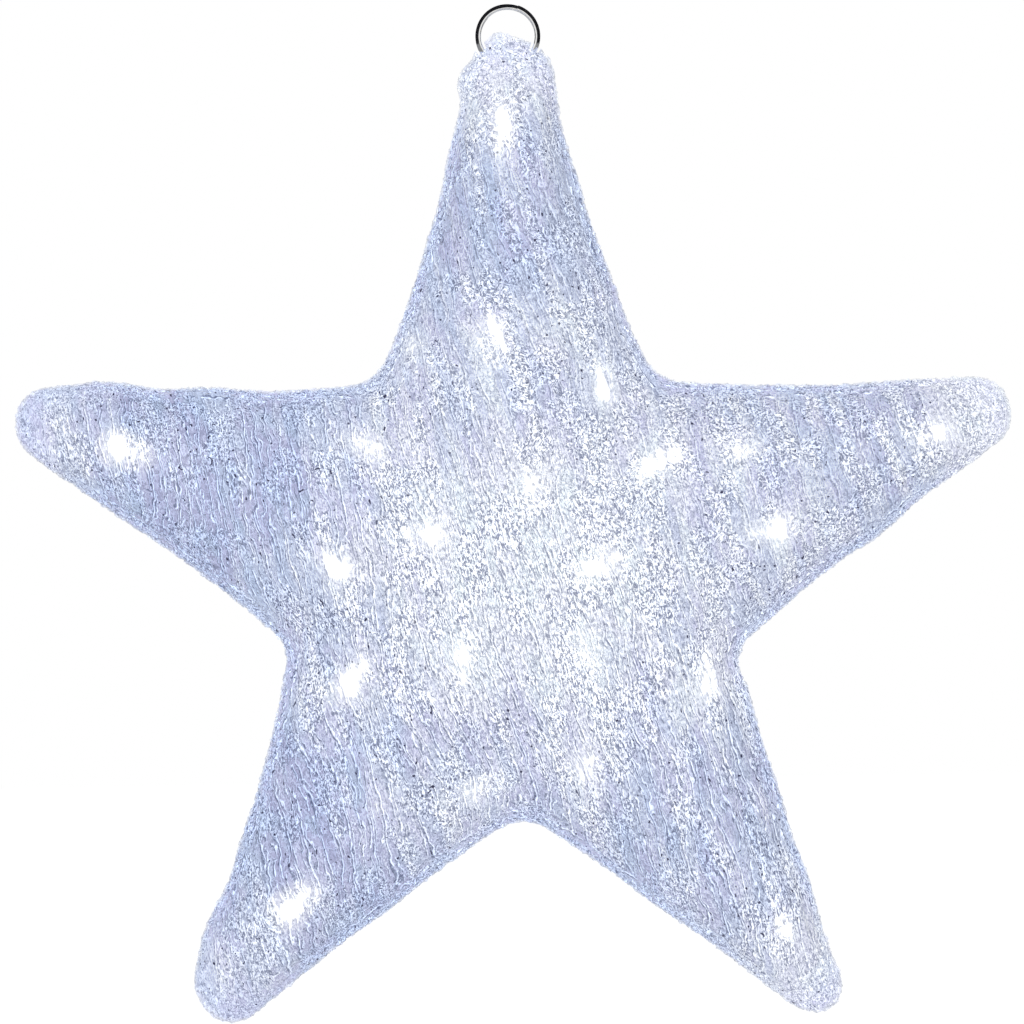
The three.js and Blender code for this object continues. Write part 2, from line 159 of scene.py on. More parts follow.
def tint(tree, amount, under, over, blend="MIX"):
    made = node(tree, "ShaderNodeMix", data_type="RGBA", blend_type=blend)
    for name, value in (("Factor", amount), ("A", under), ("B", over)):
        kind = "VALUE" if name == "Factor" else "RGBA"
        socket = next(s for s in made.inputs if s.name == name and s.type == kind)
        if isinstance(value, bpy.types.NodeSocket):
            tree.links.new(value, socket)
        else:
            socket.default_value = value
    return next(s for s in made.outputs if s.type == "RGBA")


def band(tree, value, start, full, end, gone):
    return maths(tree, "MULTIPLY", ramp(tree, value, start, full), ramp(tree, value, gone, end))


def mixed(tree, *parts):
    # The parts multiplied together
    value = parts[0]
    for part in parts[1:]:
        value = maths(tree, "MULTIPLY", value, part)
    return value


def newFinish(name):
    finish = bpy.data.materials.new(name)
    finish.use_nodes = True
    tree = finish.node_tree
    tree.nodes.clear()
    return finish, tree


def placed(tree, size, lean=0, shift=(0, 0, 0)):
    # Object coordinates measured in sizes: 1 is one size along each axis
    place = node(tree, "ShaderNodeTexCoord").outputs["Object"]
    turned = node(tree, "ShaderNodeMapping", {
        "Vector": place, "Rotation": (0, math.radians(lean), 0), "Location": shift,
    })
    scaled = node(tree, "ShaderNodeVectorMath", {0: turned.outputs[0]}, operation="DIVIDE")
    scaled.inputs[1].default_value = size
    return scaled.outputs[0]


def noiseAt(tree, vector, scale=1, detail=2, roughness=0.5):
    return node(tree, "ShaderNodeTexNoise", {
        "Vector": vector, "Scale": scale, "Detail": detail, "Roughness": roughness,
    })


def floorFinish(values):
    finish, tree = newFinish("floor_paper")
    grain = noiseAt(tree, placed(tree, values["floorGrain"]), detail=3).outputs["Fac"]
    darker = tuple(c * values["floorMottle"] for c in values["floorColour"][:3]) + (1,)
    colour = tint(tree, ramp(tree, grain, *values["floorRamp"]), values["floorColour"], darker)
    base = node(tree, "ShaderNodeBsdfDiffuse", {"Color": colour})
    lift = node(tree, "ShaderNodeEmission", {"Color": (1, 1, 1, 1)})
    path = node(tree, "ShaderNodeLightPath")
    seen = maths(tree, "MAXIMUM", path.outputs["Is Camera Ray"],
                 path.outputs["Is Transmission Ray"])
    tree.links.new(maths(tree, "MULTIPLY", seen, values["floorLift"]), lift.inputs["Strength"])
    total = node(tree, "ShaderNodeAddShader", {0: base.outputs[0], 1: lift.outputs[0]})
    node(tree, "ShaderNodeOutputMaterial", {"Surface": total.outputs[0]})
    return finish


# What gloss mirrors: bright ahead and behind, dark flags at the sides and overhead
def flagged(tree, values):
    way = node(tree, "ShaderNodeSeparateXYZ", {
        0: node(tree, "ShaderNodeTexCoord").outputs["Generated"]}).outputs
    ahead = ramp(tree, way["Y"], *values["ahead"])
    behind = ramp(tree, way["Y"], *values["behind"])
    below = mixed(tree, ramp(tree, way["Z"], *values["below"]), values["belowShare"])
    bright = maths(tree, "MAXIMUM", maths(tree, "MAXIMUM", ahead, behind), below)
    return tint(tree, bright, values["flag"], (1, 1, 1, 1))


addStage(stageValues)
addWorld(stageValues)
print("stage ready")


# Ice shells
iceStar = {
    "topReach": 0.207, "sideReach": 0.2005, "footReach": 0.206,
    "sideClock": 71.3, "footClock": 144.7,
    "topRound": 0.0175, "tipRound": 0.0135,
    "valleyReach": 0.0936, "valleyRound": 0.014, "flankBow": 3.25,
    "halfDepth": 0.032, "swellPower": 2.3, "wall": 0.0025, "seamHalf": 0.00015,
    "arcSteps": 8, "flankSteps": 26, "swellRows": 22,
    "merge": 0.00001, "voxel": 0.00113, "softening": 6, "softenBy": 0.5, "creaseAngle": 50,
}


def halfArm(reach, roundness, bisector, values, inset):
    def across(angle):
        return Vector((math.cos(angle), math.sin(angle)))
    valleyRound = values["valleyRound"]
    bow = math.radians(values["flankBow"])
    tipCentre = Vector((reach - roundness, 0))
    valleyCentre = across(bisector) * (values["valleyReach"] + valleyRound)
    span = valleyCentre - tipCentre
    normal = math.atan2(span.y, span.x) - math.acos((roundness + valleyRound) / span.length)
    tipEnd, valleyEnd = normal + bow, normal - bow
    start = tipCentre + across(tipEnd) * (roundness - inset)
    end = valleyCentre - across(valleyEnd) * (valleyRound + inset)
    u, v = across(tipEnd - math.pi / 2), across(valleyEnd - math.pi / 2)
    gap = end - start
    middle = start + u * ((gap.x * v.y - gap.y * v.x) / (u.x * v.y - u.y * v.x))
    arc, flank = values["arcSteps"], values["flankSteps"]
    points = [tipCentre + across(tipEnd * i / arc) * (roundness - inset) for i in range(arc)]
    for i in range(flank):
        t = i / flank
        points.append(start * (1 - t) ** 2 + middle * 2 * t * (1 - t) + end * t ** 2)
    for i in range(arc + 1):
        angle = valleyEnd + (bisector - valleyEnd) * i / arc
        points.append(valleyCentre - across(angle) * (valleyRound + inset))
    return points


def starOutline(values, inset=0):
    side, foot = math.radians(values["sideClock"]), math.radians(values["footClock"])
    arms = [
        (0, values["topReach"], values["topRound"]),
        (side, values["sideReach"], values["tipRound"]),
        (foot, values["footReach"], values["tipRound"]),
        (-foot, values["footReach"], values["tipRound"]),
        (-side, values["sideReach"], values["tipRound"]),
    ]
    outline = []
    for i, (clock, reach, roundness) in enumerate(arms):
        before = (clock - arms[i - 1][0]) % (2 * math.pi) / 2
        after = (arms[(i + 1) % 5][0] - clock) % (2 * math.pi) / 2
        left = halfArm(reach, roundness, before, values, inset)[1:][::-1]
        right = halfArm(reach, roundness, after, values, inset)[:-1]
        for p in [Vector((q.x, -q.y)) for q in left] + right:
            outline.append(Vector((
                p.x * math.sin(clock) + p.y * math.cos(clock), 0,
                p.x * math.cos(clock) - p.y * math.sin(clock),
            )))
    return outline


def onlyThis(piece):
    bpy.ops.object.select_all(action="DESELECT")
    piece.select_set(True)
    bpy.context.view_layer.objects.active = piece


def applied(piece, kind, **settings):
    onlyThis(piece)
    bpy.ops.object.modifier_add(type=kind)
    modifier = piece.modifiers[-1]
    for name, value in settings.items():
        setattr(modifier, name, value)
    bpy.ops.object.modifier_apply(modifier=modifier.name)


def applyPlace(piece):
    onlyThis(piece)
    bpy.ops.object.transform_apply(location=True, rotation=True, scale=True)


# The star isn't quite even: places on its outline, counted from its centre, and their pushes
handShaping = [
    {"size": 0.0045, "spots": [
        (-0.003, 0.208, 0, 0.0034), (-0.0145, 0.2015, 0.0016, 0), (-0.0185, 0.192, -0.0016, 0),
        (0.0155, 0.2015, -0.0012, 0),
    ]},
    {"size": 0.017, "spots": [
        (0.012, 0.203, 0.0016, 0.001), (0.02, 0.17, -0.0016, -0.001),
        (0.03, 0.137, -0.0012, -0.0004),
        (0.059, 0.074, 0.0033, 0.0001), (0.154, 0.072, -0.0002, 0.0009),
        (0.188, 0.067, 0.0001, 0.0008), (0.187, 0.047, 0.002, -0.0003),
        (0.168, 0.038, 0.0013, -0.0007), (0.14, 0.016, 0.0013, -0.0022),
        (0.087, -0.03, -0.0028, -0.002), (0.093, -0.065, -0.002, 0.0005),
        (0.104, -0.099, -0.0014, -0.0003), (0.115, -0.134, -0.0014, 0.0006),
        (0.122, -0.152, -0.0026, 0.0004), (0.114, -0.17, 0.0023, 0.0003),
        (0.097, -0.161, 0.0008, -0.0004), (0.081, -0.15, 0.0002, 0.0003),
        (0.05, -0.126, -0.0005, -0.0008), (0.001, -0.093, 0.0014, -0.0014),
        (-0.026, -0.109, 0.0007, -0.0009), (-0.051, -0.128, 0.001, -0.0013),
        (-0.082, -0.15, 0.0003, -0.0004), (-0.113, -0.171, -0.0006, -0.0005),
        (-0.128, -0.155, -0.0009, 0.0012), (-0.121, -0.135, -0.0037, 0.0021),
        (-0.107, -0.101, -0.0012, 0.0007), (-0.097, -0.067, -0.0005, -0.0002),
        (-0.088, -0.033, -0.0009, 0.0023), (-0.109, -0.009, 0.001, 0.0006),
        (-0.134, 0.012, 0.0002, 0.0005), (-0.149, 0.023, -0.0009, -0.0004),
        (-0.165, 0.034, -0.0003, -0.0005), (-0.18, 0.046, -0.0002, -0.0012),
        (-0.19, 0.063, -0.0014, 0.0013), (-0.175, 0.075, -0.0015, 0.0007),
        (-0.155, 0.075, 0.0004, 0.0045), (-0.118, 0.073, -0.0003, 0.0026),
        (-0.06, 0.074, -0.002, 0.0008), (-0.047, 0.089, 0.0007, -0.001),
        (-0.037, 0.116, 0.0014, -0.0008), (-0.028, 0.144, 0.0018, -0.0004),
        (-0.018, 0.181, 0.0009, -0.0023), (-0.012, 0.203, -0.0029, -0.0011),
    ]},
]


def smoothstep(values, low, high):
    t = numpy.clip((values - low) / (high - low), 0, 1)
    return t * t * (3 - 2 * t)


def placesOf(piece):
    places = numpy.empty(len(piece.data.vertices) * 3)
    piece.data.vertices.foreach_get("co", places)
    return places.reshape(-1, 3)


def shapedByHand(piece):
    places = placesOf(piece)
    flat = (places - numpy.array(starCentre))[:, (0, 2)]
    moved = numpy.zeros_like(flat)
    for group in handShaping:
        for x, z, pushX, pushZ in group["spots"]:
            away = numpy.linalg.norm(flat - (x, z), axis=1)
            moved += numpy.exp(-(away / group["size"]) ** 2)[:, None] * (pushX, pushZ)
    places[:, 0] += moved[:, 0]
    places[:, 2] += moved[:, 1]
    piece.data.vertices.foreach_set("co", places.ravel())
    piece.data.update()


# The star's outline as a loop, extruded row by row: each row has its depth and its share
def outlineRows(name, outline, rows):
    bpy.ops.object.select_all(action="DESELECT")
    bpy.ops.mesh.primitive_circle_add(vertices=len(outline), radius=iceStar["sideReach"])
    piece = bpy.context.object
    piece.name = name
    for vertex, place in zip(piece.data.vertices, outline):
        vertex.co = place
    bpy.ops.object.mode_set(mode="EDIT")
    bpy.ops.mesh.select_all(action="SELECT")
    y, share = 0, 1
    for i, (nextY, nextShare) in enumerate(rows):
        if i > 0:
            bpy.ops.mesh.extrude_edges_move()
        ratio = nextShare / share
        bpy.ops.transform.resize(value=(ratio, 1, ratio), center_override=(0, 0, 0))
        bpy.ops.transform.translate(value=(0, nextY - y, 0))
        y, share = nextY, nextShare
    return piece


def swellShare(y, depth):
    return (1 - (y / depth) ** 2) ** (1 / iceStar["swellPower"])


def swellHalf(name, values, inset):
    depth, count = values["halfDepth"] - inset, values["swellRows"]
    deeps = [depth * math.sin(math.pi / 2 * i / count) for i in range(count)]
    rows = [(-y, swellShare(y, depth)) for y in deeps]
    piece = outlineRows(name, starOutline(values, inset), rows)
    bpy.ops.mesh.extrude_edges_move()
    bpy.ops.transform.translate(value=(0, deeps[-1] - depth, 0))
    bpy.ops.mesh.merge(type="CENTER")
    bpy.ops.mesh.select_all(action="SELECT")
    bpy.ops.mesh.normals_make_consistent(inside=False)
    bpy.ops.object.mode_set(mode="OBJECT")
    piece.location = starCentre
    applyPlace(piece)
    return piece


# Painted light: paler middle, tips and a few spots of the shell, counted from its centre
iceLight = {
    "base": 0.16, "middle": 0.80, "middleSize": 0.062, "tips": 0.44, "tipsFrom": 0.158,
    "tipsFull": 0.190, "right": 1.3, "up": 0.3, "lamps": 0.28, "paleSpotSize": 0.019,
    "paleSpots": [(0.027, 0.098, 0.28), (-0.168, 0.044, 0.18), (-0.035, -0.096, 0.30),
              (0.072, -0.130, 0.10), (-0.090, -0.008, 0.16), (-0.046, 0.067, 0.12)],
}


def lightOf(places, lampsAround, values):
    flat = places - numpy.array(starCentre)
    reach = numpy.linalg.norm(flat[:, (0, 2)], axis=1)
    lit = values["base"] + values["middle"] * numpy.exp(-(reach / values["middleSize"]) ** 2)
    lit += values["tips"] * smoothstep(reach, values["tipsFrom"], values["tipsFull"])
    # Painted light: lighter towards the right and the top, and near the lamps
    lit += values["right"] * flat[:, 0] + values["up"] * flat[:, 2]
    lit += values["lamps"] * lampsAround
    for x, z, amount in values["paleSpots"]:
        away = numpy.linalg.norm(flat[:, (0, 2)] - (x, z), axis=1)
        lit += amount * numpy.exp(-(away / values["paleSpotSize"]) ** 2)
    return lit


# Where every lamp lies: its bulb's middle and its sleeve's middle
lampNumbers = range(1, 25)
lamps = []
for i in lampNumbers:
    spots = [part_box(f"led_{part}_{i:02d}") for part in ("bulb", "sleeve")]
    lamps.append([(low + high) / 2 for low, high in spots])


# Strands run down the star and lean to the right, less so on the left arm
strandLay = {
    "pitch": 0.0049, "leftLean": 5, "lean": 16.5, "leftFrom": -0.16, "leftTo": -0.02,
    "wobbleSize": (0.030, 0.030, 0.055), "wobble": 1.15,
    "shiverSize": (0.007, 0.007, 0.016), "shiver": 0.22,
    "faceFrom": 0.007, "faceTo": 0.016, "glandClear": (0.009, 0.014),
    "noiseShift": 17, "rimStrands": 0.45, "rimKnots": 0.25,
}


def strandPhase(places, lay):
    flat = places - numpy.array(starCentre)
    turn = smoothstep(flat[:, 0], lay["leftFrom"], lay["leftTo"])
    lean = numpy.radians(lay["leftLean"] + (lay["lean"] - lay["leftLean"]) * turn)
    phase = (flat[:, 0] * numpy.cos(lean) + flat[:, 2] * numpy.sin(lean)) / lay["pitch"]
    for size, amount in ((lay["wobbleSize"], lay["wobble"]), (lay["shiverSize"], lay["shiver"])):
        scaled = flat / numpy.array(size) + lay["noiseShift"]
        phase += amount * numpy.array([noise.noise(Vector(p)) for p in scaled])
    return phase


# How strongly each lamp shows through the front, and one on the far wall through the back
# The lamps' glow is painted on the shell, not cast by them
lampShow = {
    "front": {1: 0.70, 2: 0.88, 3: 0.68, 4: 0.72, 5: 0.53, 6: 0.78, 7: 0.98, 8: 0.72, 9: 0.76,
              10: 0.80, 11: 1.05, 12: 0.43, 13: 0.74, 14: 0.69, 15: 0.72, 16: 0.54, 17: 0.15,
              18: 0.71, 19: 0.82, 20: 0.92, 21: 0.96, 22: 0.69, 23: 0.60, 24: 0.76},
    "behind": 0.75, "sleeveLoss": 0.4,
    "core": 0.0050, "near": 0.0080, "wide": 0.018,
}


# How near each place is to a lamp, looking through the shell from the front or the back
# These nearnesses carry the lamps' glow, painted on the shell
def lampNearness(places, values):
    layers = {title: numpy.zeros(len(places)) for title in ("core", "near", "wide")}
    flat = places[:, (0, 2)]
    inFront = places[:, 1] < 0
    for number, (bulb, sleeve) in enumerate(lamps, 1):
        strength = numpy.where(inFront, values["front"][number],
                               1 if bulb.y > 0 else values["behind"])
        a = numpy.array((bulb.x, bulb.z))
        b = numpy.array((sleeve.x, sleeve.z))
        t = numpy.clip(((flat - a) @ (b - a)) / ((b - a) @ (b - a)), 0, 1)
        away = numpy.linalg.norm(flat - a - t[:, None] * (b - a), axis=1)
        for title, layer in layers.items():
            share = strength * (1 - values["sleeveLoss"] * t)
            numpy.maximum(layer, share * numpy.exp(-(away / values[title]) ** 2), out=layer)
    return layers


def setLayer(piece, title, values):
    layer = piece.data.attributes.new(title, "FLOAT", "POINT")
    layer.data.foreach_set("value", values.astype(numpy.float32))


def setWeights(piece, title, weights):
    group = piece.vertex_groups.new(name=title)
    for i, weight in enumerate(weights.tolist()):
        if weight > 0:
            group.add((i,), weight, "REPLACE")


# Relief of the acrylic, pushed out along the skin: soft lumps, strands, knots and pebbles
iceRelief = [
    {"name": "soft_lumps", "kind": "CLOUDS", "size": (0.014, 0.014, 0.014), "group": "free",
     "height": 0.0010, "middle": 0.56, "set": {"noise_depth": 2}},
    {"name": "strands", "kind": None, "group": "strands", "height": 0.00055, "middle": 0.45},
    {"name": "strand_knots", "kind": "VORONOI", "size": (0.0036, 0.005, 0.0095),
     "group": "face", "height": 0.0007, "middle": 0.42,
     "set": {"weight_1": -1, "weight_2": 1, "noise_scale": 1}},
    {"name": "rim_pebbles", "kind": "VORONOI", "size": (0.0040, 0.0040, 0.0040),
     "group": "rim", "height": 0.0010, "middle": 0.42,
     "set": {"weight_1": -1, "weight_2": 1, "noise_scale": 1}},
    {"name": "rim_lumps", "kind": "CLOUDS", "size": (0.0055, 0.0055, 0.0055), "group": "rim",
     "height": 0.0020, "middle": 0.52, "set": {"noise_depth": 1}},
]


def addRelief(piece, layers):
    for layer in layers:
        given = {"strength": layer["height"], "mid_level": layer["middle"],
                 "vertex_group": layer["group"]}
        if layer["kind"] is None:
            applied(piece, "DISPLACE", **given)
            continue
        texture = bpy.data.textures.new(layer["name"], layer["kind"])
        for name, value in layer["set"].items():
            setattr(texture, name, value)
        bpy.ops.object.select_all(action="DESELECT")
        bpy.ops.object.empty_add(location=starCentre,
                                 rotation=(0, math.radians(-strandLay["lean"]), 0))
        guide = bpy.context.object
        guide.scale = layer["size"]
        bpy.context.view_layer.update()
        applied(piece, "DISPLACE", texture=texture, texture_coords="OBJECT",
                texture_coords_object=guide, **given)
        bpy.data.objects.remove(guide)
        bpy.data.textures.remove(texture)


# The whole skin first, so that both halves meet without a step
def makeSkin(values, lay):
    skin = swellHalf("ice_core", values, 0)
    applied(skin, "MIRROR", use_axis=(False, True, False), merge_threshold=values["merge"])
    onlyThis(skin)
    bpy.ops.object.mode_set(mode="EDIT")
    bpy.ops.mesh.select_all(action="SELECT")
    bpy.ops.mesh.remove_doubles(threshold=values["merge"])
    bpy.ops.mesh.normals_make_consistent(inside=False)
    bpy.ops.object.mode_set(mode="OBJECT")
    applied(skin, "REMESH", mode="VOXEL", voxel_size=values["voxel"])
    applied(skin, "SMOOTH", factor=values["softenBy"], iterations=values["softening"])
    shapedByHand(skin)
    places = placesOf(skin)
    reach = numpy.linalg.norm((places - numpy.array(starCentre))[:, (0, 2)], axis=1)
    face = smoothstep(numpy.abs(places[:, 1]), lay["faceFrom"], lay["faceTo"])
    free = numpy.where(places[:, 1] > 0, smoothstep(reach, *lay["glandClear"]), 1)
    phase = strandPhase(places, lay)
    crest = 0.5 - 0.5 * numpy.cos(2 * math.pi * phase)
    lampLayers = lampNearness(places, lampShow)
    setLayer(skin, "strand", phase)
    # Painted light for the ice finish: the lamps' glow and how lit each place is
    setLayer(skin, "glow", lampLayers["core"])
    setLayer(skin, "near", lampLayers["near"])
    setLayer(skin, "lit", lightOf(places, lampLayers["wide"], iceLight))
    setWeights(skin, "free", free)
    setWeights(skin, "strands", free * (crest * face + (1 - face) * lay["rimStrands"]))
    setWeights(skin, "face", free * (lay["rimKnots"] + (1 - lay["rimKnots"]) * face))
    setWeights(skin, "rim", free * (1 - face))
    addRelief(skin, iceRelief)
    skin.vertex_groups.clear()
    return skin


wholeSkin = makeSkin(iceStar, strandLay)
print("skin ready", len(wholeSkin.data.vertices))

# The plain inner side of the shells, and the openings cut through them
innerStar = dict(iceStar, arcSteps=3, flankSteps=8, swellRows=10)
openings = {"x": 0.01014, "z": -0.015504, "tilt": 27.2, "wide": 0.0044, "long": 0.0115,
            "deep": 0.012, "corner": 0.0008, "cornerSteps": 3, "glandHole": 0.0048,
            "glandCut": 0.03, "glandSides": 48}


def cutAway(piece, cutter):
    applied(piece, "BOOLEAN", object=cutter, operation="DIFFERENCE", solver="EXACT")
    bpy.data.objects.remove(cutter)


def slotCutter(side):
    bpy.ops.object.select_all(action="DESELECT")
    bpy.ops.mesh.primitive_cube_add(size=1)
    cutter = bpy.context.object
    cutter.scale = (openings["wide"], openings["long"], openings["deep"])
    applyPlace(cutter)
    applied(cutter, "BEVEL", width=openings["corner"], segments=openings["cornerSteps"])
    cutter.rotation_euler = (0, math.radians(side * openings["tilt"]), 0)
    cutter.location = (side * openings["x"], 0, openings["z"])
    applyPlace(cutter)
    return cutter


def iceHalf(name, side, finish):
    half = wholeSkin.copy()
    half.data = wholeSkin.data.copy()
    half.name = name
    bpy.context.collection.objects.link(half)
    inner = swellHalf("ice_inner", innerStar, iceStar["wall"])
    if side > 0:
        inner.scale = (1, -1, 1)
        applyPlace(inner)
    shapedByHand(inner)
    for piece in (half, inner):
        onlyThis(piece)
        bpy.ops.object.mode_set(mode="EDIT")
        bpy.ops.mesh.select_all(action="SELECT")
        bpy.ops.mesh.bisect(plane_co=(0, side * iceStar["seamHalf"], 0), plane_no=(0, side, 0),
                            clear_inner=True)
        bpy.ops.object.mode_set(mode="OBJECT")
    onlyThis(half)
    inner.select_set(True)
    bpy.ops.object.join()
    bpy.ops.object.mode_set(mode="EDIT")
    bpy.ops.mesh.select_mode(type="EDGE")
    bpy.ops.mesh.select_all(action="DESELECT")
    bpy.ops.mesh.select_non_manifold()
    bpy.ops.mesh.fill(use_beauty=False)
    bpy.ops.mesh.select_all(action="SELECT")
    bpy.ops.mesh.normals_make_consistent(inside=False)
    bpy.ops.object.mode_set(mode="OBJECT")
    for end in (-1, 1):
        cutAway(half, slotCutter(end))
    if side > 0:
        bpy.ops.object.select_all(action="DESELECT")
        bpy.ops.mesh.primitive_cylinder_add(
            vertices=openings["glandSides"], radius=openings["glandHole"],
            depth=openings["glandCut"],
            location=starCentre + Vector((0, iceStar["halfDepth"], 0)),
            rotation=(math.pi / 2, 0, 0),
        )
        hole = bpy.context.object
        applyPlace(hole)
        cutAway(half, hole)
    onlyThis(half)
    bpy.ops.object.shade_smooth_by_angle(angle=math.radians(iceStar["creaseAngle"]))
    half.data.materials.clear()
    half.data.materials.append(finish)
    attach(half, "star")
    return half


# Ice finish: strands of differing tone, paired lines, curls, bubbles, ticks, painted lamp glows.
# A grain is its size, detail and shift, a line its place and width in its field, and a ramp
# where an effect starts and where it is full. Amounts with two values are a gain and a base.
# The white marks are painted highlights, the dark marks painted shade; the shell's glow is
# painted light
icePattern = {
    "lavender": (0.395, 0.428, 0.635, 1), "paleBlue": (0.396, 0.470, 0.658, 1),
    "haze": (0.587, 0.618, 0.818, 1), "veil": (0.860, 0.920, 0.995, 1),
    "white": (0.945, 0.975, 1.0, 1), "shine": (0.615, 0.735, 1.0, 1),
    "dark": (0.120, 0.146, 0.262, 1), "veilDark": (0.262, 0.288, 0.395, 1),
    "fringe": (0.880, 0.900, 0.930, 1), "rimHaze": (0.600, 0.612, 0.790, 1),
    "warmCast": (1.015, 0.980, 1.0, 1), "coolCast": (0.985, 1.020, 0.995, 1),
    "speck": (0.030, 0.030, 0.075, 1), "lampWhite": (0.985, 1.0, 0.975, 1),
    "grains": {
        "cloud": ((0.026, 0.026, 0.040), 3, (0, 0, 0)),
        "hue": ((0.014, 0.014, 0.030), 4, (0.4, 0.1, 0.3)),
        "sway": ((0.0040, 0.0040, 0.0090), 2, (0.2, 0.6, 0.1)),
        "patch": ((0.011, 0.011, 0.020), 3, (0.7, 0.2, 0.5)),
        "gap": ((0.0026, 0.0026, 0.0110), 2, (0.3, 0.1, 0.2)),
        "curls": ((0.0016, 0.0016, 0.0029), 2, (0.5, 0.2, 0.7)),
        "broken": ((0.0028, 0.0028, 0.0040), 1, (0.1, 0.9, 0.4)),
        "loops": ((0.0019, 0.0019, 0.0024), 1, (0.8, 0.4, 0.2)),
        "crumb": ((0.0010, 0.0010, 0.0015), 1, (0.6, 0.5, 0.3)),
        "ticks": ((0.00046, 0.00046, 0.0021), 1, (0.1, 0.2, 0.3)),
        "speck": ((0.0012, 0.0012, 0.0015), 0, (0.9, 0.3, 0.6)),
        "drift": ((0.003, 0.003, 0.004), 2, (0, 0, 0)),
    },
    "bubbles": (0.0030, 0.0030, 0.0041), "bubbleShift": (0.2, 0.3, 0.8),
    "cells": (0.0014, 0.0014, 0.0026), "toneLength": 0.030,
    "strandRow": 0.5, "halfRow": 8.5,
    "lines": {
        "strand": (0.20, 0.095), "halfStrand": (0.60, 0.17), "curls": (0.50, 0.095),
        "loops": (0.44, 0.075), "rim": (0.50, 0.17), "bubbles": (0.30, 0.10),
    },
    "darkEdges": (-1.25, -0.95, -0.35, -0.05), "whiteEdges": (-0.05, 0.2, 0.65, 0.95),
    "ramps": {
        "face": (0.007, 0.015), "seam": (0.0062, 0.0012), "tone": (0.34, 0.66),
        "litPaleness": (-0.30, 1.16), "near": (0.04, 0.75), "hue": (0.43, 0.57),
        "highlightColour": (0, 0.70), "busy": (0.46, 0.56), "fading": (0.160, 0.195, 1, 0.66),
        "strandGap": (0.41, 0.47), "halfGap": (0.56, 0.50), "curlGap": (0.47, 0.50),
        "loopGap": (0.52, 0.48), "bubble": (0.60, 0.62),
        "rimGap": (0.43, 0.49), "rimDepth": (0.0165, 0.011), "rimTips": (0.150, 0.185, 1, 0.25),
        "cellShade": (0.13, 0.07), "crumbShade": (0.45, 0.50),
        "cellShine": (0.16, 0.24), "crumbShine": (0.50, 0.44),
        "tickShade": (0.435, 0.40), "tickShine": (0.565, 0.60),
        "speck": (0.765, 0.81), "speckVeil": (1.0, 0.55), "lamp": (0.40, 0.85),
        "gloss": (0.3, 0.7, 0.14, 0.36),
    },
    "amounts": {
        "sway": (0.7, -0.35), "halfStrand": (2.0, 0.3), "halfSway": 0.9, "strandStep": 3.7,
        "strandTone": 0.7, "halfTone": 0.5, "cloud": (0.30, -0.34), "toneLift": 0.30,
        "rimHaze": 0.40, "near": 0.40, "quiet": (-0.55, 1.0),
        "busy": 0.70, "busyVeil": (0.22, 0.08), "busyRim": 0.10, "crossingReach": 0.09,
        "crossingSlope": 0.5, "plain": (-0.4, 1.0), "halfLine": 0.9, "bubbleLine": 0.9,
        "rimPatch": 2.2, "rimSway": 0.8, "rimPitch": 286.0, "loose": 0.35, "many": 0.62,
        "manyVeil": 0.42, "manyRim": 0.15, "cellShine": 0.7,
        "alongTicks": (-0.60, 0.95), "crossTicks": (0.45, 0.50), "fringe": 0.50,
        "lampTone": (0.45, -0.27), "lampCurls": (0.8, -0.4),
        "light": (0.55, 0.31), "rimLight": 0.22, "lampLight": 0.45,
    },
    "crossTurns": ((-50, (0.50, 0.42)), (55, (0.50, 0.58))),
    "bump": 0.5, "bumpHeight": 0.0005, "sheen": 0.85, "sheenRoughness": 0.28, "ior": 1.49,
}


